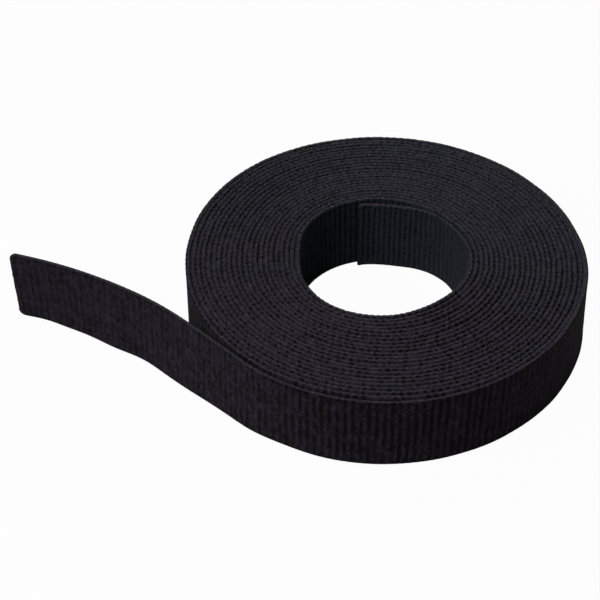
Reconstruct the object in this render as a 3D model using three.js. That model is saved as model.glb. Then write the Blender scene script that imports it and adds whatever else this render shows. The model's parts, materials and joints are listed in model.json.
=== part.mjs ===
// A roll of double-sided hook and loop tape lying flat, without a core and with both ends free.
// The tape is two woven webs bonded back to back: the loop web faces out of the roll and the hook
// web faces its bore. Wound up, the hooks of each turn grip the loops of the turn inside it.
// Millimetres, +Z up. The tape stands on its lower edge, on z = 0, and the roll winds outwards
// clockwise as seen from above. The origin is under the middle of the whole part.

import * as THREE from 'three';

const { degToRad, lerp } = THREE.MathUtils;

// The tape: each web's woven ground, without its pile
const TAPE_WIDTH = 20;
const LOOP_WEB = 0.41;
const HOOK_WEB = 0.41;

// The winding
const BORE_RADIUS = 20.7;
const TURNS = 22.5;
const STEPS_PER_TURN = 24;
// Room between two turns for the hooks and loops that grip each other
const TURN_GAP = 0.445;
// Where the outer end leaves the roll, counted from +X
const LEAVE_ANGLE = degToRad(228);

// The outer end, a tail that runs straight off the roll and then bends away from it
const TAIL_LENGTH = 70.6;
const TAIL_STRAIGHT = 22;
const TAIL_BEND_RADIUS = 112;
const TAIL_LINKS = 8;
const TIP_RADIUS = 1.6;
const TIP_STEPS = 4;

// The inner end, which bows off the turn behind it and comes back to it at its tip
const INNER_LENGTH = 20.8;
const INNER_BOW = 0.9;
const INNER_LINKS = 3;

// A free end flexes at narrow lines across the tape, between links that keep their shape
const FLEX_GAP = 0.5;
const LINK_STEPS = 3;

const LOOP_LOOK = { color: 0x1f1b20, roughness: 0.95, metalness: 0 };
const HOOK_LOOK = { color: 0x16171b, roughness: 0.75, metalness: 0 };

const PITCH = HOOK_WEB + LOOP_WEB + TURN_GAP;
const START_ANGLE = LEAVE_ANGLE + TURNS * 2 * Math.PI;
const START_RADIUS = BORE_RADIUS + HOOK_WEB;

// A station is a place along the bond between the two webs. Its side points to the loop web,
// and its inset is how far the tape's two edges are cut in there.
function polarStation(angle, radius) {
  const side = new THREE.Vector2(Math.cos(angle), Math.sin(angle));
  return { point: side.clone().multiplyScalar(radius), side, inset: 0 };
}

// The wound stretch, as far along as this many turns from its inner start
function woundStation(turns) {
  return polarStation(START_ANGLE - turns * 2 * Math.PI, START_RADIUS + turns * PITCH);
}

// The inner end, this far from the wound stretch: the spiral carried on inwards, bowed off its turn
function innerStation(along) {
  const turned = along / START_RADIUS;
  const bow = INNER_BOW * Math.sin(Math.PI * along / INNER_LENGTH) ** 2;
  return polarStation(START_ANGLE + turned, START_RADIUS - PITCH * turned / (2 * Math.PI) - bow);
}

// The tail, this far from the wound stretch: a straight run and then an arc, with a rounded tip
function tailStation(along) {
  const { point, side } = woundStation(TURNS);
  const ahead = new THREE.Vector2(side.y, -side.x);
  const bend = Math.max(along - TAIL_STRAIGHT, 0) / TAIL_BEND_RADIUS;
  point.addScaledVector(ahead, Math.min(along, TAIL_STRAIGHT) + TAIL_BEND_RADIUS * Math.sin(bend));
  point.addScaledVector(side, TAIL_BEND_RADIUS * (1 - Math.cos(bend)));
  const intoTip = Math.max(along - (TAIL_LENGTH - TIP_RADIUS), 0);
  const inset = TIP_RADIUS - Math.sqrt(Math.max(TIP_RADIUS ** 2 - intoTip ** 2, 0));
  return { point, side: side.rotateAround(new THREE.Vector2(), bend), inset };
}

// One web over a list of stations that runs from the tape's inner end to its outer end: a closed
// strip between two distances from the bond, with four corners at each station and capped ends
function webGeometry(stations, from, to) {
  const corners = [];
  const faces = [];
  const quad = (a, b, c, d) => faces.push(a, b, c, a, c, d);
  stations.forEach(({ point, side, inset }, index) => {
    const near = point.clone().addScaledVector(side, from);
    const far = point.clone().addScaledVector(side, to);
    const top = TAPE_WIDTH - inset;
    corners.push(near.x, near.y, inset, far.x, far.y, inset, far.x, far.y, top, near.x, near.y, top);
    if (index === 0) {
      return;
    }
    const before = 4 * (index - 1);
    for (let corner = 0; corner < 4; corner += 1) {
      const next = (corner + 1) % 4;
      quad(before + corner, before + next, before + 4 + next, before + 4 + corner);
    }
  });
  const last = 4 * (stations.length - 1);
  quad(0, 3, 2, 1);
  quad(last, last + 1, last + 2, last + 3);
  const geometry = new THREE.BufferGeometry();
  geometry.setAttribute('position', new THREE.Float32BufferAttribute(corners, 3));
  geometry.setIndex(faces);
  geometry.computeVertexNormals();
  return geometry;
}

function web(name, geometry, look) {
  const mesh = new THREE.Mesh(geometry, new THREE.MeshStandardMaterial(look));
  mesh.name = name;
  return mesh;
}

// A stretch of tape: its two webs, which meet face to face at the bond
function tapeStretch(name, stations) {
  return [
    web(`${name}_loop_web`, webGeometry(stations, 0, LOOP_WEB), LOOP_LOOK),
    web(`${name}_hook_web`, webGeometry(stations, -HOOK_WEB, 0), HOOK_LOOK),
  ];
}

const roll = new THREE.Group();

// The wound stretch is one unbroken strip
const woundSteps = Math.round(TURNS * STEPS_PER_TURN);
const woundStations = [];
for (let step = 0; step <= woundSteps; step += 1) {
  woundStations.push(woundStation(TURNS * step / woundSteps));
}
roll.add(...tapeStretch('wound', woundStations));

// Each free end is a chain of links, and a flex line lies in the gap before each link
const flexLines = [];
function flexLine(name, { point }) {
  flexLines.push({ name, point });
}

const innerLink = INNER_LENGTH / INNER_LINKS;
for (let link = 0; link < INNER_LINKS; link += 1) {
  const name = `inner_end_${link + 1}`;
  const stations = [];
  for (let step = LINK_STEPS; step >= 0; step -= 1) {
    stations.push(innerStation(lerp(link * innerLink + FLEX_GAP, (link + 1) * innerLink, step / LINK_STEPS)));
  }
  roll.add(...tapeStretch(name, stations));
  flexLine(name, innerStation(link * innerLink + FLEX_GAP / 2));
}

const tailLink = TAIL_LENGTH / TAIL_LINKS;
for (let link = 0; link < TAIL_LINKS; link += 1) {
  const name = `tail_${link + 1}`;
  const isTip = link === TAIL_LINKS - 1;
  const end = (link + 1) * tailLink - (isTip ? TIP_RADIUS : 0);
  const stations = [];
  for (let step = 0; step <= LINK_STEPS; step += 1) {
    stations.push(tailStation(lerp(link * tailLink + FLEX_GAP, end, step / LINK_STEPS)));
  }
  for (let step = 1; isTip && step <= TIP_STEPS; step += 1) {
    stations.push(tailStation(end + TIP_RADIUS * Math.sin(Math.PI / 2 * step / TIP_STEPS)));
  }
  roll.add(...tapeStretch(name, stations));
  flexLine(name, tailStation(link * tailLink + FLEX_GAP / 2));
}

// The origin goes under the middle of the part
const box = new THREE.Box3().setFromObject(roll);
const middle = box.getCenter(new THREE.Vector3());
roll.position.set(-middle.x, -middle.y, -box.min.z);

// The least gap of the winding to itself, from the outside of each turn to the inside of later ones,
// measured on the stations and half way between them
function facePoints(offset) {
  const points = woundStations.map(({ point, side }) => point.clone().addScaledVector(side, offset));
  return points.flatMap((point, index) => [point, point.clone().lerp(points[index + 1] ?? point, 0.5)]);
}
const outside = facePoints(LOOP_WEB);
const inside = facePoints(-HOOK_WEB);
let leastGap = Infinity;
outside.forEach((point, index) => {
  for (let later = index + STEPS_PER_TURN; later < inside.length; later += 1) {
    leastGap = Math.min(leastGap, point.distanceTo(inside[later]));
  }
});
console.log(`least gap between turns ${leastGap.toFixed(3)} mm`);

for (const { name, point } of flexLines) {
  console.log(`${name} flexes at x ${(point.x - middle.x).toFixed(3)}, y ${(point.y - middle.y).toFixed(3)}`);
}
console.log(`roll axis at x ${(-middle.x).toFixed(3)}, y ${(-middle.y).toFixed(3)}`);

export default roll;
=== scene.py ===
# %% [markdown]
# # A roll of double-sided hook and loop tape
# The real thing is one strip of black tape, 20 mm wide and about 5 m long, wound on itself with no
# core. It is two woven webs bonded back to back: soft loops face out of the roll and small hooks
# face its bore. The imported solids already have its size, its places and its joints, so they stay
# as the frame, and this lesson weaves a finer skin for each of them.

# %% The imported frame
import json
import math

import bpy
import numpy as np
from mathutils import Matrix, Vector

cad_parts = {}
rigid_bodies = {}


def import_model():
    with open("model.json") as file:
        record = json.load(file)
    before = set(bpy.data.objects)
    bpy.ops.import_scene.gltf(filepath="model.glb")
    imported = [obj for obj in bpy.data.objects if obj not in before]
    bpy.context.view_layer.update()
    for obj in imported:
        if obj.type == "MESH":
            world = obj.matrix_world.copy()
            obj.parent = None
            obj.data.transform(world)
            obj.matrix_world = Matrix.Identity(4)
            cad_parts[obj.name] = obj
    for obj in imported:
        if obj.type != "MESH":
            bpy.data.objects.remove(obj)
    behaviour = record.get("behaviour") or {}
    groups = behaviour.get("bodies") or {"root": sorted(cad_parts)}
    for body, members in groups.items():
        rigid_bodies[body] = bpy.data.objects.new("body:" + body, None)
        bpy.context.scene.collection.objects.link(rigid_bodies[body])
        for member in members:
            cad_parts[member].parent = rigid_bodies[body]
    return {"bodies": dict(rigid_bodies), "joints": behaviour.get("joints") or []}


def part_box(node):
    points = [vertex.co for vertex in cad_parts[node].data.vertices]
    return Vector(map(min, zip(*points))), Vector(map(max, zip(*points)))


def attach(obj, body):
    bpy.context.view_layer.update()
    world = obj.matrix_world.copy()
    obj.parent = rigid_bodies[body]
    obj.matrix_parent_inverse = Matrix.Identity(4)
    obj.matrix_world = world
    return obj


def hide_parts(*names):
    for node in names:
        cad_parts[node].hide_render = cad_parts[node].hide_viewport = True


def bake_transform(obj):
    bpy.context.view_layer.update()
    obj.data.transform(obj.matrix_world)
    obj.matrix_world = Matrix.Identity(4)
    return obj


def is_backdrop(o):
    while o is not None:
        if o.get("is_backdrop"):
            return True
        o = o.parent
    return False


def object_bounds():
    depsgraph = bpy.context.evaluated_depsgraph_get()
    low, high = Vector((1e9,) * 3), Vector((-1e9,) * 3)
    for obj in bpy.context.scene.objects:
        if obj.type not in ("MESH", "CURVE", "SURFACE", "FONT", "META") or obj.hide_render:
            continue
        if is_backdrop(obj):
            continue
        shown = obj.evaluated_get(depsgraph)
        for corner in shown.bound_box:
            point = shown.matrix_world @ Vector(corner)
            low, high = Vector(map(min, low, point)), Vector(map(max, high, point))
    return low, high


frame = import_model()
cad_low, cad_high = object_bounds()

MM = 0.001

# %% [markdown]
# ## The route of the tape
# Seen from above, the tape is a single line: a short inner end that stands off its turn, a spiral
# of 22.5 turns, and a tail that runs straight off the roll and then bends away. A curve object
# could be swept along it, but a woven rib keeps its pitch on every turn, so the route here is a
# function of the distance along the tape, in millimetres from where the winding starts. A place in
# plan is a complex number, with x as its real part and y as its imaginary part, and then
# multiplying by 1j is a quarter turn to the left.

# %% The route of the tape
web_low, web_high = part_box("wound_loop_web")
TAPE_WIDTH = (web_high.z - web_low.z) / MM
HALF = TAPE_WIDTH / 2
BORE_TO_BOND = 21.11
PITCH = 1.265
TURNS = 22.5
LEAVE_ANGLE = math.radians(228)
TAIL_LENGTH = 70.6
TAIL_STRAIGHT = 22.0
TAIL_BEND_RADIUS = 112.0
INNER_LENGTH = 20.8
INNER_BOW = 0.9
NUDGE = 0.01

START_ANGLE = LEAVE_ANGLE + TURNS * math.tau
WOUND_LENGTH = math.tau * (BORE_TO_BOND * TURNS + PITCH * TURNS ** 2 / 2)
TAIL_TIP = WOUND_LENGTH + TAIL_LENGTH


def bond_line(along):
    """Places in plan on the bond of the two webs, for distances along the tape."""
    wound = np.clip(along, 0, WOUND_LENGTH)
    turns = (np.sqrt(BORE_TO_BOND ** 2 + PITCH * wound / math.pi) - BORE_TO_BOND) / PITCH
    back = np.clip(-along, 0, None)
    bow = INNER_BOW * np.sin(math.pi * back / INNER_LENGTH) ** 2
    radius = BORE_TO_BOND + PITCH * turns - PITCH * back / BORE_TO_BOND / math.tau - bow
    spiral = radius * np.exp(1j * (START_ANGLE - math.tau * turns + back / BORE_TO_BOND))
    off = np.clip(along - WOUND_LENGTH, 0, None)
    bend = np.clip(off - TAIL_STRAIGHT, 0, None) / TAIL_BEND_RADIUS
    ahead = np.minimum(off, TAIL_STRAIGHT) + TAIL_BEND_RADIUS * np.sin(bend)
    aside = TAIL_BEND_RADIUS * (1 - np.cos(bend))
    return spiral + np.exp(1j * LEAVE_ANGLE) * (aside - 1j * ahead)


def outward(line, along):
    """The direction in plan from a line along the tape to the side of its loop web."""
    step = line(along + NUDGE) - line(along - NUDGE)
    return 1j * step / np.abs(step)


print(f"{TAIL_TIP + INNER_LENGTH:.0f} mm of tape, {TAPE_WIDTH:.1f} mm wide")

# %% [markdown]
# ## Where the free ends flex
# Both free ends are chains of short links in the frame, with a flex line before each link. The
# record gives every flex line's place, so the roll's axis need not be written down: it is where
# the route has to lie for its own flex line to fall on the first one of the tail.

# %% Where the free ends flex
FLEX_GAP = 0.5
FLEX_MISS = 0.01
TAIL_LINKS = sum(name.startswith("tail_") for name in frame["bodies"])
INNER_LINKS = sum(name.startswith("inner_end_") for name in frame["bodies"])
TAIL_LINK = TAIL_LENGTH / TAIL_LINKS
INNER_LINK = INNER_LENGTH / INNER_LINKS
tail_flex = [WOUND_LENGTH + FLEX_GAP / 2 + link * TAIL_LINK for link in range(TAIL_LINKS)]
inner_flex = [-FLEX_GAP / 2 - link * INNER_LINK for link in range(INNER_LINKS)]
joint_into = {joint["child"]: joint for joint in frame["joints"]}

peel_x, peel_y, _ = joint_into["tail_1"]["pos_m"]
AXIS = complex(peel_x, peel_y) / MM - bond_line(np.array(tail_flex[:1]))[0]


def in_frame(along, height):
    """A point of the bond in the frame, in metres, at a height in millimetres."""
    place = bond_line(np.array([along]))[0] + AXIS
    return Vector((place.real, place.imag, height)) * MM


for number, along in enumerate(tail_flex, start=1):
    miss = (in_frame(along, HALF) - Vector(joint_into[f"tail_{number}"]["pos_m"])).length / MM
    assert miss < FLEX_MISS, (number, miss)
print(f"roll axis at x {AXIS.real:.3f}, y {AXIS.imag:.3f} mm, {TAIL_LINKS} + {INNER_LINKS} flex lines")

# %% [markdown]
# ## The camera
# The camera comes early, because it decides how much detail shows. Its place, tilt and focal
# length come from the outlines of the roll, the bore and the tail in the photograph. It stands in
# front of the roll and a little to its left, and looks down at about 42 degrees.

# %% The camera
FOCAL_PIXELS = 1744.4
IMAGE_PIXELS = 600
LOOK_DOWN = math.radians(41.767)
FROM_AXIS = Vector((-20.48, -325.57, 296.83))

lens = bpy.data.cameras.new("photo_camera")
lens.sensor_width = 36
lens.lens = FOCAL_PIXELS / IMAGE_PIXELS * lens.sensor_width
lens.clip_start = 0.01
camera = bpy.data.objects.new("photo_camera", lens)
bpy.context.scene.collection.objects.link(camera)
camera.matrix_world = (
    Matrix.Translation((FROM_AXIS + Vector((AXIS.real, AXIS.imag, 0))) * MM)
    @ Matrix.Rotation(math.pi / 2 - LOOK_DOWN, 4, "X")
)
bpy.context.scene.camera = camera
print(f"lens {lens.lens:.1f} mm, {camera.location.length / MM:.0f} mm from the origin")

# %% [markdown]
# ## Uneven winding
# Nothing woven is quite even, and nothing is wound quite evenly by hand. Blender's noise works in
# materials, but here the shape itself must vary, so a small seeded table of numbers is smoothed
# into noise that is the same on every run.

# %% Uneven winding
NOISE_ROWS = 4096
NOISE_COLUMNS = 64
WANDER = 0.09
WANDER_LENGTH = 7
WANDER_SEED = 5


def ease(value, start, end):
    """0 before start, 1 after end and smooth between them."""
    share = np.clip((value - start) / (end - start), 0, 1)
    return share * share * (3 - 2 * share)


def swell(value, middle, spread):
    """1 at the middle, falling smoothly to nothing about two spreads away."""
    return np.exp(-((value - middle) / spread) ** 2)


def grain(along, across, seed):
    """Smooth noise from -1 to 1 on a grid of one unit."""
    table = np.random.default_rng(seed).uniform(-1, 1, (NOISE_ROWS, NOISE_COLUMNS))
    along, across = np.broadcast_arrays(along, across)
    row, column = np.floor(along).astype(int), np.floor(across).astype(int)
    down, right = ease(along - row, 0, 1), ease(across - column, 0, 1)

    def on_row(row):
        near = table[row % NOISE_ROWS, column % NOISE_COLUMNS]
        far = table[row % NOISE_ROWS, (column + 1) % NOISE_COLUMNS]
        return near * (1 - right) + far * right

    return on_row(row) * (1 - down) + on_row(row + 1) * down


def wander(along):
    """How far the tape strays from an even winding, in millimetres."""
    return WANDER * grain(along / WANDER_LENGTH, 0, WANDER_SEED)


trial = np.linspace(-INNER_LENGTH, TAIL_TIP, 5000)
print(f"turns wander from {wander(trial).min():.2f} to {wander(trial).max():.2f} mm")

# %% [markdown]
# ## How the turns lie
# The solids follow an even spiral, but on a real roll every turn lies on the one inside it and
# climbs in one step where the inner end begins. In the photograph the bore is also out of round,
# which the turns behind it even out, and the last turns lie slack before the tail leaves them.
# Each fault is one term here, with its angle round the roll or its place on the tape, how far it
# spreads, and its depth in millimetres. Places near the tail are counted from its root.

# %% How the turns lie
STEP_ANGLE = 150
STEP_SPREAD = 30
STEP_ENDS = (-60, 0)
BORE_PRESSED = 0.26
BORE_DENTS = [(305, 35, -1.2), (232, 22, 0.3), (180, 16, -0.6), (110, 45, 0.45)]
BORE_BEGINS = (0, 25)
EVENED_OUT = 10
SLACK = 0.62
SLACK_SHARES = (1.0, 0.25)
SLACK_BEGINS = (-95, -25)
SLACK_ENDS = (-5, 38)
OUTER_DENTS = [(-112, 20, 0.42), (-142, 30, -0.3), (-72, 25, -0.25)]
INNER_DENTS = [(-6, 6, 0.5), (-15.5, 4, -0.25)]
WANDER_ENDS = (-10, 10)
OUTER_TURN = math.tau * (BORE_TO_BOND + PITCH * (TURNS - 0.5))


def dents(place, terms):
    """The sum of some swells, each with its middle, its spread and its depth."""
    return sum(depth * swell(place, middle, spread) for middle, spread, depth in terms)


def past_angle(route, angle):
    """How many degrees each place on a route lies clockwise of an angle round the roll."""
    return np.degrees(np.angle(np.exp(1j * math.radians(angle)) * np.conj(route)))


def near_bore(along, route):
    """1 on the innermost turn, falling to nothing on the turns that no longer follow the bore."""
    depth = (np.abs(route) - BORE_TO_BOND) / PITCH
    return np.clip(1 - depth / EVENED_OUT, 0, 1) * ease(along, *BORE_BEGINS)


def as_wound(along):
    """The bond line of this roll, with the faults of its winding."""
    route = bond_line(along)
    to_tail = along - WOUND_LENGTH
    past_step = past_angle(route, STEP_ANGLE)
    climb = ease(past_step, -STEP_SPREAD, STEP_SPREAD) - 0.5 - past_step / 360
    bore = BORE_PRESSED
    for angle, spread, depth in BORE_DENTS:
        bore = bore + depth * swell(past_angle(route, angle), 0, spread)
    fault = PITCH * climb * (1 - ease(to_tail, *STEP_ENDS)) + bore * near_bore(along, route)
    for turns_back, share in enumerate(SLACK_SHARES):
        place = to_tail + turns_back * OUTER_TURN
        slack = SLACK * ease(place, *SLACK_BEGINS) * (1 - ease(place, *SLACK_ENDS))
        fault = fault + share * (slack + dents(place, OUTER_DENTS))
    fault = fault + dents(along, INNER_DENTS) + wander(along) * (1 - ease(to_tail, *WANDER_ENDS))
    return route + outward(bond_line, along) * fault


off = np.abs(as_wound(trial) - bond_line(trial))
print(f"the tape lies {off.mean():.2f} mm off its even route, and {off.max():.2f} mm at most")

# %% [markdown]
# ## How the edges lean
# Tape also leans: in places its top edge lies further into the roll and its bottom edge further
# out of it, or the other way. Near the two ends the bottom edge is wavy as well, where the tape
# stands free on the table. Both are sums of the same swells as the dents.

# %% How the edges lean
BACK_LEAN = 0.45
BACK_LEAN_ANGLE = 110
BACK_LEAN_SPREAD = 45
LEANS = [(-112, 22, 0.4), (21, 22, 0.72), (TAIL_LENGTH, 10, -0.2)]
INNER_LEANS = [(-5, 9, 0.28)]
FOOT_WAVES = [
    (-45, 18, -0.17), (-11, 8, -0.4), (9, 9, -0.36),
    (33, 6, -0.4), (43, 6, 0.45), (63, 5, -0.4),
]
INNER_FOOT_WAVES = [(4, 4.5, 0.55), (-16, 5, 0.3)]


def lean(along):
    """How far the top edge leans into the roll and the bottom edge out of it."""
    route = bond_line(along)
    at_back = swell(past_angle(route, BACK_LEAN_ANGLE), 0, BACK_LEAN_SPREAD)
    at_ends = dents(along, INNER_LEANS) + dents(along - WOUND_LENGTH, LEANS)
    return at_ends - BACK_LEAN * at_back * near_bore(along, route)


def foot(along):
    """How far the bottom edge stands out of its lean, near the two ends of the tape."""
    return dents(along - WOUND_LENGTH, FOOT_WAVES) + dents(along, INNER_FOOT_WAVES)


print(f"edges lean from {lean(trial).min():.2f} to {lean(trial).max():.2f} mm")

# %% [markdown]
# ## The section of a web
# Cut across, a web has a firm bead along each edge, where its weft turns back. Beside the bead is
# a shoulder of pile, and then the napped or hooked face. A section is a closed ring of points,
# which starts on the bond a little below the top edge, so that the bead's pale painted highlight
# stays at the edge. Each point has its reach from the bond and its height, and its shares of pile,
# bead, notch and shade: the notch says how far pits cut into the shoulder, and the shade how much
# painted shade darkens the shoulder, where the next turn shades it. A turn inside the roll shows
# its edges alone, so its section has only two face rows, which reach into the next turn and let no
# light through.

# %% The section of a web
FACE_DROP = 1.1
BEAD_EDGE = [(0.0, 0.03), (0.12, 0.0), (0.27, 0.01), (0.35, 0.06)]
SHOULDER = [(0.43, 0.09), (0.52, 0.12), (0.60, 0.16), (0.65, 0.38)]
EDGE = [(0.0, FACE_DROP)] + BEAD_EDGE + SHOULDER
UNDER_EDGE = [(0.0, FACE_DROP), (0.0, 0.03), (0.27, 0.01), (0.6, 0.2)]
PILE_BEGINS = (0.2, 0.9)
BEAD_ENDS = (0.02, 0.31)
SHOULDER_BEGINS = (0.28, 0.48)
SHOULDER_ENDS = (0.4, 1.2)


def web_section(bottom_edge, face, face_rows, notched, painted_shade):
    """Reach, height, pile, bead, notch and painted shade of each point, round from the top."""
    bottom_up = bottom_edge[::-1]
    top_height = [HALF - drop for _, drop in EDGE]
    face_height = np.linspace(HALF - FACE_DROP, FACE_DROP - HALF, face_rows)
    bottom_height = [drop - HALF for _, drop in bottom_up]
    height = np.concatenate([top_height, face_height, bottom_height])
    reach = np.array([out for out, _ in EDGE] + [face] * face_rows + [out for out, _ in bottom_up])
    drop = HALF - np.abs(height)
    inside = ease(drop, *PILE_BEGINS)
    bead = (1 - inside) * (1 - ease(reach, *BEAD_ENDS))
    shoulder = ease(reach, *SHOULDER_BEGINS) * (1 - ease(drop, *SHOULDER_ENDS))
    pile = inside * (reach > 0)
    # The last row is painted shade, which darkens the shoulder where the next turn shades the gap.
    return np.array([reach, height, pile, bead, notched * shoulder, painted_shade * shoulder])


LOOP_SECTION = web_section(EDGE, face=0.6, face_rows=58, notched=0.4, painted_shade=0.3)
HOOK_SECTION = web_section(EDGE, face=0.48, face_rows=100, notched=0.4, painted_shade=0.45)
LOOP_EDGE = web_section(UNDER_EDGE, face=0.8, face_rows=2, notched=1.0, painted_shade=0.0)
HOOK_EDGE = web_section(UNDER_EDGE, face=0.8, face_rows=2, notched=1.0, painted_shade=0.5)
sections = (LOOP_SECTION, HOOK_SECTION, LOOP_EDGE, HOOK_EDGE)
print("sections of", [section.shape[1] for section in sections], "points")

# %% [markdown]
# ## Counting the ribs
# Both faces are ribbed across the tape by their weft. A flex line should fall between two ribs,
# so that a link bends in a groove. The rib's pitch is therefore a whole share of a tail link, or
# as near to it as the wound length allows.

# %% Counting the ribs
RIBS_PER_LINK = {"loop": 5, "hook": 6}
between_ends = tail_flex[0] - inner_flex[0]
RIB = {}
for web, ribs in RIBS_PER_LINK.items():
    RIB[web] = between_ends / round(between_ends * ribs / TAIL_LINK)
    print(f"{web} web: ribs every {RIB[web]:.3f} mm")


def rib_at(along, web):
    """Ribs counted along the tape, whole on their crests and half way between two at every flex line."""
    inner_rib = INNER_LINK / round(INNER_LINK / RIB[web])
    back = np.minimum(along - inner_flex[0], 0) / inner_rib
    return (np.maximum(along, inner_flex[0]) - tail_flex[0]) / RIB[web] + back + 0.5


# %% [markdown]
# ## The relief of the two faces
# On the loop face the nap hides the ribs in places, most of all on the handled tail and on the
# right of the outer turn, and leaves broken dashes of groove between them. On the hook face the
# ribs are crisp, with fine rows along the tape. All of it is one wave along the tape, shifted by
# noise, that says how high each point stands; the finishes also darken the grooves from it, as
# painted shade.

# %% The relief of the two faces
SEED = {"loop": 11, "hook": 23}
RIB_WANDER = {"loop": 0.09, "hook": 0.04}
RIB_DRIFT = (3.1, 3.2)
GROOVE = {"loop": (-0.85, 0.45), "hook": (-0.8, 0.8)}
GROOVE_SHARE = {"loop": 0.8, "hook": 0.55}
DASH = {"loop": 2.4, "hook": 2.6}
DASH_ENDS = (-0.5, 0.4)
DASH_SHARE = {"loop": 0.6, "hook": 0.35}
TUFT = (0.55, 0.7)
TUFT_SHARE = {"loop": 0.35, "hook": 0.2}
HOOK_ROW = 0.55
ROW_SHARE = {"loop": 0.0, "hook": 0.2}
HANDLED = 0.7
HANDLED_FROM = (-50, 25)
NAPPED = [(-108, 42, 0.85)]


def handled(along):
    """How far the nap was brushed over the ribs, from 0 to 1."""
    to_tail = along - WOUND_LENGTH
    return HANDLED * ease(to_tail, *HANDLED_FROM) + dents(to_tail, NAPPED)


def grooves_and_tufts(along, height, web):
    """The grooves between the ribs and the tufts of yarn on them, both from 0 to 1."""
    drift = grain(along / RIB_DRIFT[0], height / RIB_DRIFT[1], SEED[web])
    rib = rib_at(along, web) + RIB_WANDER[web] * drift
    groove = 1 - ease(np.cos(math.tau * rib), *GROOVE[web])
    tuft = 0.5 + 0.5 * grain(along / TUFT[0], height / TUFT[1], SEED[web] + 2)
    return groove, tuft


def face_stand(along, height, groove, tuft, web):
    """How high each point of a face stands, from 0 in a groove to 1 on a rib.
    The finishes paint shade into the grooves from it.
    """
    dash = ease(grain(along / RIB[web], height / DASH[web], SEED[web] + 1), *DASH_ENDS)
    broken = groove * (1 - DASH_SHARE[web] * (1 - dash))
    if web == "loop":
        broken = broken * (1 - handled(along))
    row = 0.5 + 0.5 * np.cos(math.tau * height / HOOK_ROW)
    uneven = TUFT_SHARE[web] * (1 - tuft) + ROW_SHARE[web] * (1 - row)
    return (1 - GROOVE_SHARE[web] * broken) * (1 - uneven)


print(f"tufts of {TUFT[0]} x {TUFT[1]} mm, fine rows on the hook face every {HOOK_ROW} mm")

# %% [markdown]
# ## The relief of the edges
# At the edge each rib rises to the bead as a rung, and most of the rungs have a pit beside them,
# darkened with painted shade, as is the shoulder. The bottom edge is pressed flat by the table, so
# its pits are shallow. A web's points are then sunk towards the bond on its faces, and away from
# its edges in the pits.

# %% The relief of the edges
RIB_DEPTH = {"loop": 0.26, "hook": 0.17}
PIT_DEPTH = {"loop": 0.18, "hook": 0.3}
PIT_BACK = 0.16
PIT_PAINTED_SHADE = 0.7
PIT_TUFT = 0.25
PIT_LENGTH = 1.3
FILLED = (0.0, 0.5)
FILLED_SHARE = 0.8
EDGES_APART = 5
BEAD_NOTCH = 0.06
PRESSED = 0.3


def edge_pit(along, height, groove, tuft, web):
    """How open the pit beside a rung is, from 0 to 1."""
    closed = grain(along / PIT_LENGTH, np.sign(height) * EDGES_APART, SEED[web] + 3)
    opening = (1 - FILLED_SHARE * ease(closed, *FILLED)) * (1 - handled(along))
    return groove * (1 - PIT_TUFT * (1 - tuft)) * opening


def relief(along, section, web):
    """The reach and height of each point of a web, and a share from 0 to 1 for its colour: where it
    stands on its rib on a face, and the painted shade of the pits and shoulder at an edge.
    """
    reach, height, pile, bead, notch, shade = section
    groove, tuft = grooves_and_tufts(along, height, web)
    stand = face_stand(along, height, groove, tuft, web)
    pit = edge_pit(along, height, groove, tuft, web)
    between = notch * pit * np.where(height > 0, 1, PRESSED)
    sunk = pile * RIB_DEPTH[web] * (1 - stand) + PIT_BACK * between
    lower = PIT_DEPTH[web] * between + BEAD_NOTCH * bead * pit
    # Pits and the shoulder get painted shade here, darker the more open a pit is.
    painted_edge_shading = (1 - PIT_PAINTED_SHADE * pit) * (1 - shade)
    return reach - sunk, height - np.sign(height) * lower, np.where(pile > 0.5, stand, painted_edge_shading)


print("ribs", RIB_DEPTH, "mm deep, pits", PIT_DEPTH, "mm")

# %% [markdown]
# ## Places on the tape
# A point of the skin is a place along the tape, a reach from the bond and a height. The tail's tip
# is cut a little askew and its corners are rounded, and both cut ends fray. One function carries
# all such points to the frame, so the webs and the hooks follow the same roll.

# %% Places on the tape
TIP_RADIUS = 1.6
FRAY = 0.15
FRAY_LENGTH = 0.6
FRAY_SEED = 31
THREAD = 0.4
SKEW = 0.35
SKEW_LENGTH = 6


def tip_inset(along):
    """How far both edges are cut in at the rounded tip of the tail."""
    into = np.clip(along - (TAIL_TIP - TIP_RADIUS), 0, TIP_RADIUS)
    return TIP_RADIUS - np.sqrt(TIP_RADIUS ** 2 - into ** 2)


def frayed(along, height):
    """Places along the tape, with the threads of its two cut ends pulled unevenly."""
    at_tip = ease(along, TAIL_TIP - FRAY_LENGTH, TAIL_TIP)
    at_inner_end = ease(-along, INNER_LENGTH - FRAY_LENGTH, INNER_LENGTH)
    askew = SKEW * height / HALF * ease(along, TAIL_TIP - SKEW_LENGTH, TAIL_TIP)
    return along + askew + FRAY * (at_tip + at_inner_end) * grain(height / THREAD, 0, FRAY_SEED)


def on_tape(along, reach, height, web):
    """Points in the frame for places on the tape: along it, out from its bond and across it."""
    facing = 1 if web == "loop" else -1
    up = height / HALF
    aside = facing * reach - lean(along) * up + foot(along) * (1 - up) / 2
    plan = AXIS + as_wound(along) + outward(as_wound, along) * aside
    return np.stack([plan.real, plan.imag, height + HALF], axis=-1).reshape(-1, 3) * MM


print(f"cut ends fray by {FRAY} mm, and the tip is {2 * SKEW} mm askew")

# %% [markdown]
# ## A square layout for a long strip
# When the colours are baked, every face needs its own place on a square picture. Unwrapping a
# strip of several metres would leave a hair line, so the strip is folded into columns side by
# side, with its two end caps above them.

# %% A square layout for a long strip
STRIP_TOP = 0.97
CAP_MIDDLES = np.array([(0.25, 0.985), (0.75, 0.985)])
CAP_SIZE = (0.2, 0.012)


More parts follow.
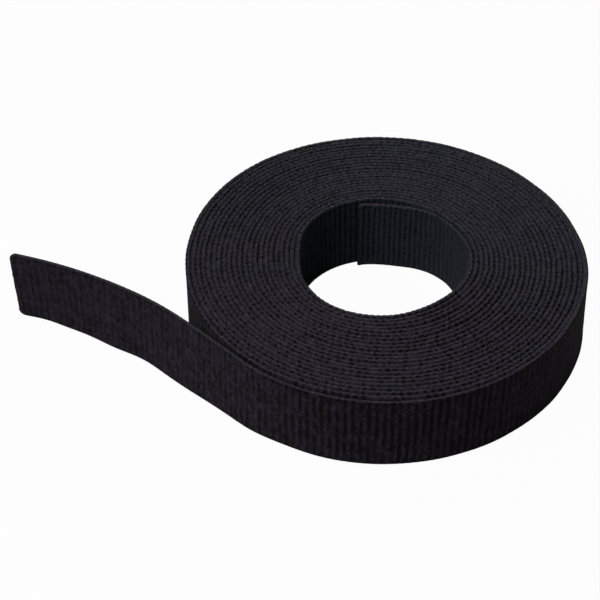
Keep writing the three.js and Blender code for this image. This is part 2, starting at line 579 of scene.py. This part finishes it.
def lay_out_strip(mesh, quads, ring, length):
    """Folds a strip of quads into columns, where ring quads go once round the web."""
    columns = max(1, round(math.sqrt(length / (2 * TAPE_WIDTH))))
    per_column = math.ceil(quads // ring / columns)
    step, point = np.divmod(np.arange(quads), ring)
    column, row = np.divmod(step, per_column)
    left = (column + point / ring) / columns
    right = (column + (point + 1) / ring) / columns
    bottom = STRIP_TOP * row / per_column
    top = STRIP_TOP * (row + 1) / per_column
    corners = np.stack([left, bottom, right, bottom, right, top, left, top], axis=-1).reshape(-1, 2)
    turn = np.linspace(0, math.tau, ring, endpoint=False)
    cap = np.stack([np.cos(turn), np.sin(turn)], axis=-1) * CAP_SIZE
    layer = mesh.uv_layers.new(name="OFBake")
    layer.data.foreach_set("uv", np.concatenate([corners, *(CAP_MIDDLES[:, None] + cap)]).ravel())


print(f"strips fill the layout up to {STRIP_TOP}, and their caps lie above")

# %% [markdown]
# ## Pieces that know their place
# A finish has to know where on the tape it is. Object coordinates can't tell it, because the tape
# is wound, so each point of a piece keeps its own values as named attributes, such as its place
# along the tape, and the finishes read them later.

# %% Pieces that know their place
def keep_values(mesh, shape, **values):
    """Keeps values on the points of a mesh, for its finish to read."""
    for label, value in values.items():
        value = np.broadcast_to(value, shape).ravel().astype(np.float32)
        mesh.attributes.new(label, "FLOAT", "POINT").data.foreach_set("value", value)


def new_piece(name, mesh):
    """A new object of the scene for a mesh."""
    piece = bpy.data.objects.new(name, mesh)
    bpy.context.scene.collection.objects.link(piece)
    return piece


def places(start, end, web, per_rib):
    """Even places along the tape, about so many to a rib, from start to end."""
    return np.linspace(start, end, max(2, round((end - start) / RIB[web] * per_rib) + 1))


print("one link has", len(places(0, TAIL_LINK, "loop", 8)), "places at 8 to a rib")

# %% [markdown]
# ## Weaving a web
# A stretch of web is its section repeated along the tape and joined by quads, with a cap at each
# end. Its top edge is nearly level, and its points keep how worn the nap is where they lie.

# %% Weaving a web
LEVEL = 0.08
LEVEL_LENGTH = 30
LEVEL_SEED = 7
WORN = (10, 55)
BEAD_VALUE = 3


def strip_faces(stations, ring, web):
    """The quads of a strip, and its two caps, with their fronts outside."""
    index = np.arange(stations * ring).reshape(stations, ring)
    beside = np.roll(index, -1, axis=1)
    quads = np.stack([index[:-1], beside[:-1], beside[1:], index[1:]], axis=-1).reshape(-1, 4)
    caps = [index[0][::-1], index[-1]]
    if web == "hook":
        quads = quads[:, [1, 0, 3, 2]]
        caps = [cap[::-1] for cap in caps]
    return quads, caps


def weave(name, along, section, web):
    """An object for one stretch of one web."""
    along = along[:, None]
    reach, height, stand = relief(along, section, web)
    height = height * (1 - tip_inset(along) / HALF)
    height = height + LEVEL * grain(along / LEVEL_LENGTH, 0, LEVEL_SEED) * (height > 0)
    place = frayed(along, height)
    points = on_tape(place, reach, height, web)
    quads, caps = strip_faces(*reach.shape, web)
    mesh = bpy.data.meshes.new(name)
    mesh.from_pydata(points.tolist(), [], quads.tolist() + [cap.tolist() for cap in caps])
    mesh.polygons.foreach_set("use_smooth", [True] * len(quads) + [False] * len(caps))
    lay_out_strip(mesh, len(quads), reach.shape[1], along[-1, 0] - along[0, 0])
    # The stand value carries painted shade to the finishes: grooves, pits and shoulders are darker.
    keep_values(
        mesh, stand.shape, along=place, across=height, reach=reach, stand=stand,
        bead=section[BEAD_VALUE], worn=ease(along - WOUND_LENGTH, *WORN),
    )
    return new_piece(name, mesh)


print(f"edges lie within {LEVEL} mm of level")

# %% [markdown]
# ## One hook
# The hooks are cut loops of stiff thread: a short stem that bends over and points back at the
# web. A curve with a bevel would do for one, but there are thousands, so one hook is worked out
# here as rings of four points along its bent line, and copied in the next step.

# %% One hook
HOOK_LINE = np.array([(0, 0), (0.0, 0.27), (0.04, 0.4), (0.15, 0.49), (0.28, 0.45), (0.33, 0.3)])
STEM = np.array([0.09, 0.08, 0.075, 0.075, 0.065, 0.04])[:, None]
AROUND = np.array([0, 0.25, 0.5, 0.75]) * math.tau

heading = np.gradient(HOOK_LINE, axis=0)
heading = heading / np.linalg.norm(heading, axis=1)[:, None]
sideways = heading[:, None, ::-1] * [-1, 1]
hook_bent = HOOK_LINE[:, None, :] + (STEM * np.cos(AROUND))[..., None] * sideways
hook_across = STEM * np.sin(AROUND)
print(f"a hook of {hook_across.size} points, {HOOK_LINE[:, 1].max()} mm tall")

# %% [markdown]
# ## Where the hooks stand
# Hair would scatter the hooks, but they stand in rows, one to a rib, and face the other way in
# every second row. Each is rooted in the woven ground, with a little chance in its size, its place
# and its tilt.

# %% Where the hooks stand
HOOK_GROUND = 0.28
HOOK_SPACING = 0.72
HOOK_ROWS = 25
HOOK_SEED = 41
HOOK_BACK = 0.17
SIZE_CHANCE = 0.15
ROOT_CHANCE = 0.12
ROW_CHANCE = 0.08
TILT_CHANCE = 0.2


def hook_places(start, end):
    """Where the points of every hook lie: along the tape, out from its bond and across it."""
    fine = np.linspace(start, end, 2000)
    count = rib_at(fine, "hook")
    rib = np.interp(np.arange(math.ceil(count[0]), math.floor(count[-1]) + 1), count, fine)
    row = np.arange(HOOK_ROWS)[:, None, None]
    chance = np.random.default_rng(HOOK_SEED + len(rib)).uniform(-1, 1, (4, len(rib), HOOK_ROWS, 1, 1))
    size = 1 + SIZE_CHANCE * chance[0]
    root = rib[:, None, None, None] + ROOT_CHANCE * chance[1]
    facing = np.where(row % 2, 1.0, -1.0)
    along = root + facing * (size * hook_bent[..., 0] - HOOK_BACK)
    reach = HOOK_GROUND + size * hook_bent[..., 1]
    middle = (row - (HOOK_ROWS - 1) / 2) * HOOK_SPACING + ROW_CHANCE * chance[2]
    height = middle + hook_across + TILT_CHANCE * chance[3] * hook_bent[..., 1]
    return along, reach, height


print(f"{HOOK_ROWS} rows of hooks, {HOOK_SPACING} mm apart")

# %% [markdown]
# ## Joining the hooks
# All hooks of a stretch are one mesh. A hook that faces the other way is a mirror image, so its
# faces are turned round to keep their fronts outside. For the baking, each hook has a cell of a
# square grid to itself.

# %% Joining the hooks
CELL = (0.1, 0.9)


def hook_faces(count, flipped):
    """The quads of all hooks, turned round on the hooks that face the other way."""
    rings = np.arange(count * hook_across.size).reshape(count, *hook_across.shape)
    beside = np.roll(rings, -1, axis=2)
    sides = np.stack([rings[:, :-1], beside[:, :-1], beside[:, 1:], rings[:, 1:]], axis=-1)
    caps = np.stack([rings[:, 0, ::-1], rings[:, -1]], axis=1)
    faces = np.concatenate([sides.reshape(count, -1, 4), caps], axis=1)
    faces[flipped] = faces[flipped][..., ::-1]
    return faces


def lay_out_hooks(mesh, faces):
    """Lays the faces of each hook side by side in its own cell."""
    low, high = CELL
    cells = math.ceil(math.sqrt(len(faces)))
    cell = np.stack(np.divmod(np.arange(len(faces)), cells), axis=-1)[:, None, None, :]
    cut = np.linspace(low, high, faces.shape[1] + 1)
    corners = [(cut[:-1], low), (cut[1:], low), (cut[1:], high), (cut[:-1], high)]
    corners = np.stack([np.stack([u, np.full_like(u, v)], axis=-1) for u, v in corners], axis=1)
    layer = mesh.uv_layers.new(name="OFBake")
    layer.data.foreach_set("uv", ((cell + corners) / cells).ravel())


def stand_hooks(name, start, end):
    """An object for the hooks on one stretch of the hook web."""
    along, reach, height = hook_places(start, end)
    ribs = along.shape[0]
    faces = hook_faces(ribs * HOOK_ROWS, np.tile(np.arange(HOOK_ROWS) % 2 == 1, ribs))
    quads = faces.reshape(-1, 4)
    mesh = bpy.data.meshes.new(name)
    mesh.from_pydata(on_tape(along, reach, height, "hook").tolist(), [], quads.tolist())
    mesh.polygons.foreach_set("use_smooth", [True] * len(quads))
    lay_out_hooks(mesh, faces)
    keep_values(mesh, along.shape, along=along, across=height, reach=reach, stand=1.0, bead=0.0)
    return new_piece(name, mesh)


print("each hook has", hook_faces(1, [False]).shape[1], "faces")

# %% [markdown]
# ## Writing finishes as expressions
# A material is a tree of nodes, and its sums are easier to read as Python. This class wraps one
# output socket: its operators add Math nodes, and its node method adds any other node with its
# settings and its inputs. A Mix node has a set of sockets for each type of data, so the colours
# are told apart by their numbers.

# %% Writing finishes as expressions
MIX_SHARE = 0
MIX_DARK = 6
MIX_LIGHT = 7
MIX_COLOUR = 2


class Sock:
    """An output socket that can stand in an expression."""

    def __init__(self, socket):
        self.socket = socket

    def node(self, kind, settings, inputs, output=0):
        """Another node in the same tree, by its type, settings and inputs."""
        tree = self.socket.id_data
        made = tree.nodes.new(kind)
        for key, value in settings.items():
            setattr(made, key, value)
        for key, value in inputs.items():
            if isinstance(value, Sock):
                tree.links.new(value.socket, made.inputs[key])
            else:
                made.inputs[key].default_value = value
        return Sock(made.outputs[output])

    def maths(self, operation, first, second):
        """A Math node on two values."""
        return self.node("ShaderNodeMath", {"operation": operation}, {0: first, 1: second})

    def __add__(self, other):
        return self.maths("ADD", self, other)

    def __radd__(self, other):
        return self.maths("ADD", other, self)

    def __sub__(self, other):
        return self.maths("SUBTRACT", self, other)

    def __rsub__(self, other):
        return self.maths("SUBTRACT", other, self)

    def __mul__(self, other):
        return self.maths("MULTIPLY", self, other)

    def __rmul__(self, other):
        return self.maths("MULTIPLY", other, self)

    def shade(self, dark, light):
        """A colour from dark, where this value is 0, to light, where it is 1."""
        inputs = {MIX_SHARE: self, MIX_DARK: dark, MIX_LIGHT: light}
        return self.node("ShaderNodeMix", {"data_type": "RGBA"}, inputs, output=MIX_COLOUR)


print("a socket can be added, taken away and multiplied, with numbers on either side")

# %% [markdown]
# ## What all the finishes share
# Every finish is cloth with hardly any shine. Its noise is laid on the tape itself, from the
# values that the weaving keeps, and not on the object's space: it then runs along the tape round
# every turn and bends with the tail.

# %% What all the finishes share
SHEEN_ROUGHNESS = 0.5
BUMP_DEPTH = 0.0001


def new_finish(name, specular, sheen):
    """A cloth material, its shader, and a socket to start expressions from."""
    material = bpy.data.materials.new(name)
    material.use_nodes = True
    shader = material.node_tree.nodes["Principled BSDF"]
    shader.inputs["Specular IOR Level"].default_value = specular
    shader.inputs["Sheen Weight"].default_value = sheen
    shader.inputs["Sheen Roughness"].default_value = SHEEN_ROUGHNESS
    return material, shader, Sock(shader.outputs["BSDF"])


def tape_value(start, label):
    """One of the values that the weaving keeps on each point."""
    return start.node("ShaderNodeAttribute", {"attribute_name": label}, {}, output="Fac")


def thread_noise(start, scale, stretch, detail):
    """Noise on the tape itself, at a scale per millimetre, drawn out across the tape by stretch."""
    place = start.node("ShaderNodeCombineXYZ", {}, {
        "X": tape_value(start, "along") * stretch,
        "Y": tape_value(start, "across"),
        "Z": tape_value(start, "reach"),
    })
    return start.node("ShaderNodeTexNoise", {}, {"Vector": place, "Scale": scale, "Detail": detail})


def feed(shader, socket, value):
    """Links a value to one of the shader's sockets."""
    shader.id_data.links.new(value.socket, shader.inputs[socket])


def feed_bump(shader, height, strength):
    """Roughens the surface by a noise."""
    inputs = {"Height": height, "Strength": strength, "Distance": BUMP_DEPTH}
    feed(shader, "Normal", height.node("ShaderNodeBump", {}, inputs))


print(f"bumps of up to {BUMP_DEPTH / MM:.1f} mm")

# %% [markdown]
# ## The bead finish
# Both webs end in the same bead of bare yarn. Where the weft turns over, its filaments lie flat
# and catch the light, and this shows on the wound roll as a dashed line along every turn, which
# is painted here as a pale highlight in the colour, with fine glints. The colour follows the rungs,
# broken by noise so that no two dashes are alike, and is darker where the pits and shoulder carry
# painted shade. In a sum like this each number is a weight, and the last one sets how much of the
# yarn stays dark.

# %% The bead finish
BEAD_DEEP = (0.0072, 0.0067, 0.0086, 1)
BEAD_PAINTED_HIGHLIGHT = (0.105, 0.0968, 0.1127, 1)
BEAD_DARK = 2.55
STITCH = math.tau / 0.29
SLANT = 5.0


def bead_colour_and_highlight(start, lift):
    """The colour of the bead with its painted highlight, and of the shoulder beside it."""
    patchy = thread_noise(start, scale=0.4, stretch=1.0, detail=2.0)
    yarn_glints = thread_noise(start, scale=3.6, stretch=1.0, detail=4.0)
    turned = tape_value(start, "along") * STITCH + tape_value(start, "reach") * SLANT
    stitch = start.node("ShaderNodeMath", {"operation": "SINE"}, {0: turned})
    # The pale end is a painted highlight, with glints from the yarn noise and along the stitches.
    lit = 0.35 * tape_value(start, "stand") + 4.4 * yarn_glints + 0.4 * patchy
    return (lit + 0.2 * stitch + (lift - BEAD_DARK)).shade(BEAD_DEEP, BEAD_PAINTED_HIGHLIGHT)


print("bead from", BEAD_DEEP[:3], "to", BEAD_PAINTED_HIGHLIGHT[:3])

# %% [markdown]
# ## The loop finish
# The loop web is matte black with a faint warm cast. Its nap is darker between the ribs and on
# the shoulders, as painted shade, and greyer in fine random fibres, with soft patches where it was
# brushed, and on the worn tail it is more even. Velvet shaders use sheen alone, but on black cloth
# most of the look is this variation, so it drives the colour and a fine bump.

# %% The loop finish
LOOP_DEEP = (0.003, 0.0022, 0.0038, 1)
LOOP_PALE = (0.036, 0.027, 0.0428, 1)

loop_finish, shader, start = new_finish("loop_nap", specular=0.04, sheen=0.03)
bead = tape_value(start, "bead")
brushed = thread_noise(start, scale=0.35, stretch=1.0, detail=3.0)
fibre = thread_noise(start, scale=0.8, stretch=2.2, detail=5.0)
fuzz = thread_noise(start, scale=4.5, stretch=1.3, detail=3.0)
rough = (1.7 * fibre + 1.8 * fuzz - 1.75) * (1 - 0.4 * tape_value(start, "worn"))
# Low stand values darken the nap with painted shade in the grooves and on the shoulders.
nap = (1.3 * tape_value(start, "stand") + rough + 0.7 * brushed - 0.95).shade(LOOP_DEEP, LOOP_PALE)
feed(shader, "Base Color", bead.shade(nap, bead_colour_and_highlight(start, lift=0.15)))
feed(shader, "Roughness", 0.95 - 0.3 * bead)
feed_bump(shader, fuzz, strength=0.6)
print(loop_finish.name, len(loop_finish.node_tree.nodes), "nodes")

# %% [markdown]
# ## The hook finish
# The hook web is the same black with a cooler cast. Its hooks stand in rows along the tape on the
# crisp ribs of the ground, and their smooth stems have a little more gloss than the nap. The ground
# is darker in its grooves and on its shoulders, as painted shade.

# %% The hook finish
HOOK_DEEP = (0.003, 0.0035, 0.0048, 1)
HOOK_PALE = (0.044, 0.048, 0.0645, 1)

hook_finish, shader, start = new_finish("hook_rows", specular=0.05, sheen=0.0)
bead = tape_value(start, "bead")
speckle = thread_noise(start, scale=2.2, stretch=1.0, detail=3.0)
# Low stand values darken the ground with painted shade in the grooves and on the shoulders.
stems = (0.8 * tape_value(start, "stand") + 1.9 * speckle - 1.0).shade(HOOK_DEEP, HOOK_PALE)
feed(shader, "Base Color", bead.shade(stems, bead_colour_and_highlight(start, lift=-0.3)))
feed(shader, "Roughness", 0.75 - 0.1 * bead)
feed_bump(shader, speckle, strength=0.5)
print(hook_finish.name, len(hook_finish.node_tree.nodes), "nodes")

# %% [markdown]
# ## The wound turns
# Inside the roll only the edges of the tape show, so the turns there are woven with the short
# sections. The outermost turn shows its whole loop face and the innermost one its whole hook face,
# and these two are woven finely. They all stay with the roll and stand for its two solids. Every
# cut between two stretches falls between two ribs.

# %% The wound turns
FINISH = {"loop": loop_finish, "hook": hook_finish}
UNDERLAP = 12
outer_turn = WOUND_LENGTH - math.tau * (BORE_TO_BOND + PITCH * (TURNS - 1)) - UNDERLAP
inner_turn = math.tau * (BORE_TO_BOND + PITCH) + UNDERLAP
# Each row: name, web, first and last place, number of stretches, section, stations to a rib.
WOUND_STRETCHES = [
    ("inner_turns", "loop", inner_flex[0], outer_turn, 2, LOOP_EDGE, 4),
    ("outer_turn", "loop", outer_turn, tail_flex[0], 2, LOOP_SECTION, 8),
    ("outer_turns", "hook", inner_turn, tail_flex[0], 2, HOOK_EDGE, 4),
    ("bore_turn", "hook", inner_flex[0], inner_turn, 1, HOOK_SECTION, 6),
]


def dress(piece, web, node):
    """Gives a woven piece its finish, and hides the solid that it stands for."""
    piece.data.materials.append(FINISH[web])
    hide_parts(node)
    return piece


def between_ribs(place, web):
    """The places between two ribs that are nearest to some places along the tape."""
    return tail_flex[0] - RIB[web] * np.round((tail_flex[0] - place) / RIB[web])


woven = {"loop": [], "hook": []}
links = {"loop": [], "hook": []}
for label, web, first, last, count, section, per_rib in WOUND_STRETCHES:
    cuts = between_ribs(np.linspace(first, last, count + 1), web)
    for number, (begin, end) in enumerate(zip(cuts, cuts[1:]), start=1):
        stretch = places(begin, end, web, per_rib)
        piece = weave(f"{label}_{web}_weave_{number}", stretch, section, web)
        dress(piece, web, f"wound_{web}_web")
        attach(piece, "roll")
        woven[web].append((piece, end - begin))
        print(piece.name, len(piece.data.polygons), "faces")

bore_hooks = stand_hooks("bore_turn_hooks", inner_flex[0], inner_turn - UNDERLAP)
dress(bore_hooks, "hook", "wound_hook_web")
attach(bore_hooks, "roll")
links["hook"].append(bore_hooks)
print(bore_hooks.name, len(bore_hooks.data.polygons), "faces")

# %% [markdown]
# ## The free ends
# Each link of a free end is woven from its own flex line to the next one, in both webs.

# %% The free ends
FACE_SECTION = {"loop": LOOP_SECTION, "hook": HOOK_SECTION}
LINK_STATIONS = 8


def weave_link(body, web, first, last):
    """Weaves one web of one link, with its hooks on the hook web."""
    stretch = places(min(first, last), max(first, last), web, LINK_STATIONS)
    pieces = [weave(f"{body}_{web}_weave", stretch, FACE_SECTION[web], web)]
    if web == "hook":
        pieces.append(stand_hooks(f"{body}_hooks", stretch[0], stretch[-1]))
    for piece in pieces:
        dress(piece, web, f"{body}_{web}_web")
        in_frame(first, HALF)
        in_frame(last, HALF)
        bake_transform(piece)
        links[web].append(piece)


def weave_end(name, flex_lines, tip):
    """Weaves every link of a free end, in both webs."""
    ends = flex_lines[1:] + [tip]
    for number, (first, last) in enumerate(zip(flex_lines, ends), start=1):
        for web in FACE_SECTION:
            weave_link(f"{name}_{number}", web, first, last)
    print(name, len(flex_lines), "links, tip at", [round(c / MM, 1) for c in in_frame(tip, HALF)])


weave_end("tail", tail_flex, TAIL_TIP)
weave_end("inner_end", inner_flex, -INNER_LENGTH)

# %% [markdown]
# ## The tape as cloth
# Each web is one strip of cloth, 20 mm wide, that was cut flat and then wound. It is woven here in
# stretches, and the flat lengths of each web's wound stretches are added up.

# %% The tape as cloth
for web, stretches in woven.items():
    wound = sum(length for _, length in stretches)
    print(f"{web} web: {wound:.0f} mm wound, {TAIL_LENGTH + INNER_LENGTH:.1f} mm free")

# %% [markdown]
# ## The floor
# The photograph is a plain studio picture on white. A wide pale floor takes the shadow. Lighting it
# up to white would also light the tape, so the camera sees a white glow mixed with the paper, and
# the lamps see grey paper alone.

# %% The floor
FLOOR = 3.0
PAPER = (0.6, 0.6, 0.6, 1)
PAPER_GLOW = 0.97
WHITE = (1, 1, 1, 1)

bpy.context.scene.view_settings.view_transform = "Standard"
floor_mesh = bpy.data.meshes.new("floor")
floor_corners = [(-FLOOR, -FLOOR, 0), (FLOOR, -FLOOR, 0), (FLOOR, FLOOR, 0), (-FLOOR, FLOOR, 0)]
floor_mesh.from_pydata(floor_corners, [], [(0, 1, 2, 3)])
floor = new_piece("floor", floor_mesh)
floor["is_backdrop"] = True

paper = bpy.data.materials.new("white_paper")
paper.use_nodes = True
floor_mesh.materials.append(paper)
paper_shader = paper.node_tree.nodes["Principled BSDF"]
paper_shader.inputs["Base Color"].default_value = PAPER
paper_shader.inputs["Roughness"].default_value = 1.0
paper_shader.inputs["Specular IOR Level"].default_value = 0.0
start = Sock(paper_shader.outputs["BSDF"])
seen = start.node("ShaderNodeLightPath", {}, {}, output="Is Camera Ray")
glow = start.node("ShaderNodeEmission", {}, {"Color": WHITE, "Strength": 1.0})
mixed = start.node("ShaderNodeMixShader", {}, {0: PAPER_GLOW * seen, 1: start, 2: glow})
feed(paper.node_tree.nodes["Material Output"], "Surface", mixed)
print(f"a floor of {2 * FLOOR:.0f} m, {PAPER_GLOW:.0%} white to the camera")

# %% [markdown]
# ## The sky
# Above the floor the camera, and anything glossy or clear, sees white too. On the cloth itself the
# sky sheds hardly any light, because the shade between the turns comes from the lamps, deepened by
# the painted shade on the shoulders and in the pits.

# %% The sky
AMBIENT = 0.02

world = bpy.data.worlds.new("studio")
bpy.context.scene.world = world
world.use_nodes = True
sky = world.node_tree.nodes["Background"]
sky.inputs["Color"].default_value = WHITE
start = Sock(sky.outputs["Background"])
shown = start.node("ShaderNodeLightPath", {}, {}, output="Is Camera Ray")
for ray in ("Is Glossy Ray", "Is Transmission Ray"):
    shown = start.maths("MAXIMUM", shown, start.node("ShaderNodeLightPath", {}, {}, output=ray))
feed(sky, "Strength", AMBIENT + (1 - AMBIENT) * shown)
print(f"the sky lights the tape at {AMBIENT:.0%}")

# %% [markdown]
# ## The lamps
# Two large soft lamps stand in front to the left, one of them high, so the turns of the roll shade
# each other softly. Two weak ones stand behind, and the low one of them keeps the back of the roll
# from going black.

# %% The lamps
AIM = Vector((AXIS.real * MM, AXIS.imag * MM, 0.01))


def soft_lamp(name, place, size, watts):
    """A square lamp, aimed at the middle of the roll."""
    lamp = bpy.data.lights.new(name, "AREA")
    lamp.size = size
    lamp.energy = watts
    holder = bpy.data.objects.new(name, lamp)
    holder.location = place
    aim = AIM - Vector(place)
    holder.rotation_euler = aim.to_track_quat("-Z", "Y").to_euler()
    bpy.context.scene.collection.objects.link(holder)
    print(f"{name}: {watts} W, {aim.length:.2f} m away")


soft_lamp("left_lamp", place=(-0.66, -0.26, 0.58), size=0.4, watts=2.6)
soft_lamp("high_lamp", place=(-0.36, -0.36, 0.8), size=0.4, watts=3.8)
soft_lamp("back_lamp", place=(0.02, 0.62, 0.66), size=0.4, watts=0.8)
soft_lamp("low_lamp", place=(0.1, 0.75, 0.14), size=0.3, watts=1.6)

# %% [markdown]
# ## Size and finish
# Fabric stands a little proud of its solid, and this prints by how much.

# %% Size and finish
woven_low, woven_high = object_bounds()
proud = [(dressed - cad) / MM for dressed, cad in zip(woven_high - woven_low, cad_high - cad_low)]
print("larger than the solids by", [round(value, 2) for value in proud], "mm")
